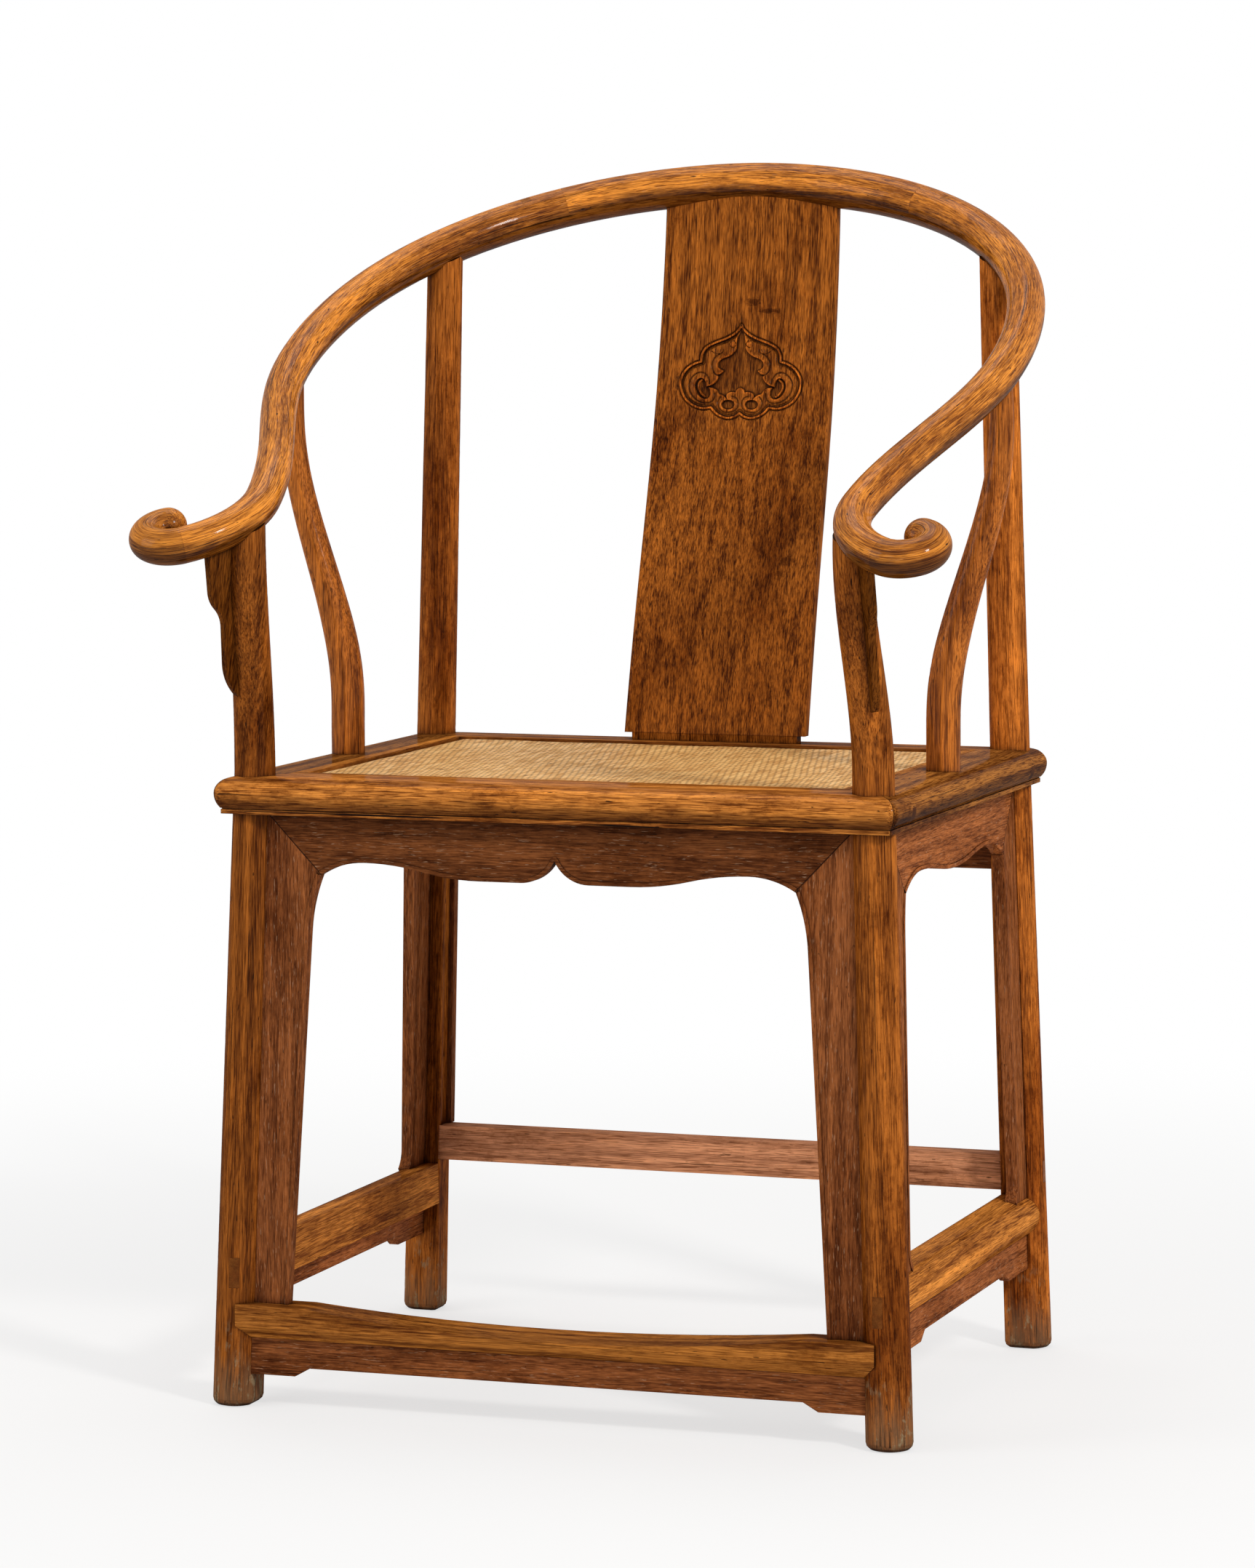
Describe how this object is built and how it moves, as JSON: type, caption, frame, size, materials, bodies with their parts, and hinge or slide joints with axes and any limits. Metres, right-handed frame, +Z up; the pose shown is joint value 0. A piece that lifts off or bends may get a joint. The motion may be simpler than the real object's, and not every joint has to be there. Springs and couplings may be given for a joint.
{
  "type": "horseshoe back armchair",
  "caption": "Hardwood armchair with a horseshoe crest rail that sweeps down into scrolled arms, a curved back splat, a woven seat, shaped aprons and a worn foot rail.",
  "frame": {"origin": "middle of the chair's outer box at floor level", "axes": "+Z up, +Y from the front of the chair to its back, +X across to the right as seen from the front"},
  "size_m": [0.6582, 0.6142, 0.9829],
  "materials": {
    "polished_hardwood": "waxed, rubbed golden on the edges and dark in the recesses",
    "carved_hardwood": "waxed, with a rubbed carved medallion",
    "apron_hardwood": "dull red brown, dry wax",
    "hidden_hardwood": "unpolished",
    "woven_cane": "fine woven mat, satin",
    "palm_cord": "coarse web of palm cord"
  },
  "bodies": {
    "root": {"arm_spandrel_left": "carved_hardwood", "arm_spandrel_right": "carved_hardwood", "back_splat": "carved_hardwood", "crest_rail_arm_left": "polished_hardwood", "crest_rail_arm_right": "polished_hardwood", "crest_rail_centre": "polished_hardwood", "crest_rail_hook_left": "polished_hardwood", "crest_rail_hook_right": "polished_hardwood", "crest_rail_pins": "hidden_hardwood", "foot_rail": "polished_hardwood", "foot_rail_apron": "apron_hardwood", "front_apron": "apron_hardwood", "front_apron_flange_left": "apron_hardwood", "front_apron_flange_right": "apron_hardwood", "front_leg_left": "polished_hardwood", "front_leg_right": "polished_hardwood", "rear_apron": "apron_hardwood", "rear_apron_flange_left": "apron_hardwood", "rear_apron_flange_right": "apron_hardwood", "rear_leg_left": "polished_hardwood", "rear_leg_right": "polished_hardwood", "rear_stretcher": "polished_hardwood", "seat_brace_left": "hidden_hardwood", "seat_brace_right": "hidden_hardwood", "seat_edge_strips": "hidden_hardwood", "seat_mat": "woven_cane", "seat_rail_front": "polished_hardwood", "seat_rail_left": "polished_hardwood", "seat_rail_rear": "polished_hardwood", "seat_rail_right": "polished_hardwood", "seat_webbing": "palm_cord", "side_apron_front_flange_left": "apron_hardwood", "side_apron_front_flange_right": "apron_hardwood", "side_apron_left": "apron_hardwood", "side_apron_rear_flange_left": "apron_hardwood", "side_apron_rear_flange_right": "apron_hardwood", "side_apron_right": "apron_hardwood", "side_post_left": "polished_hardwood", "side_post_right": "polished_hardwood", "side_stretcher_apron_left": "apron_hardwood", "side_stretcher_apron_right": "apron_hardwood", "side_stretcher_left": "polished_hardwood", "side_stretcher_right": "polished_hardwood"}
  },
  "joints": []
}
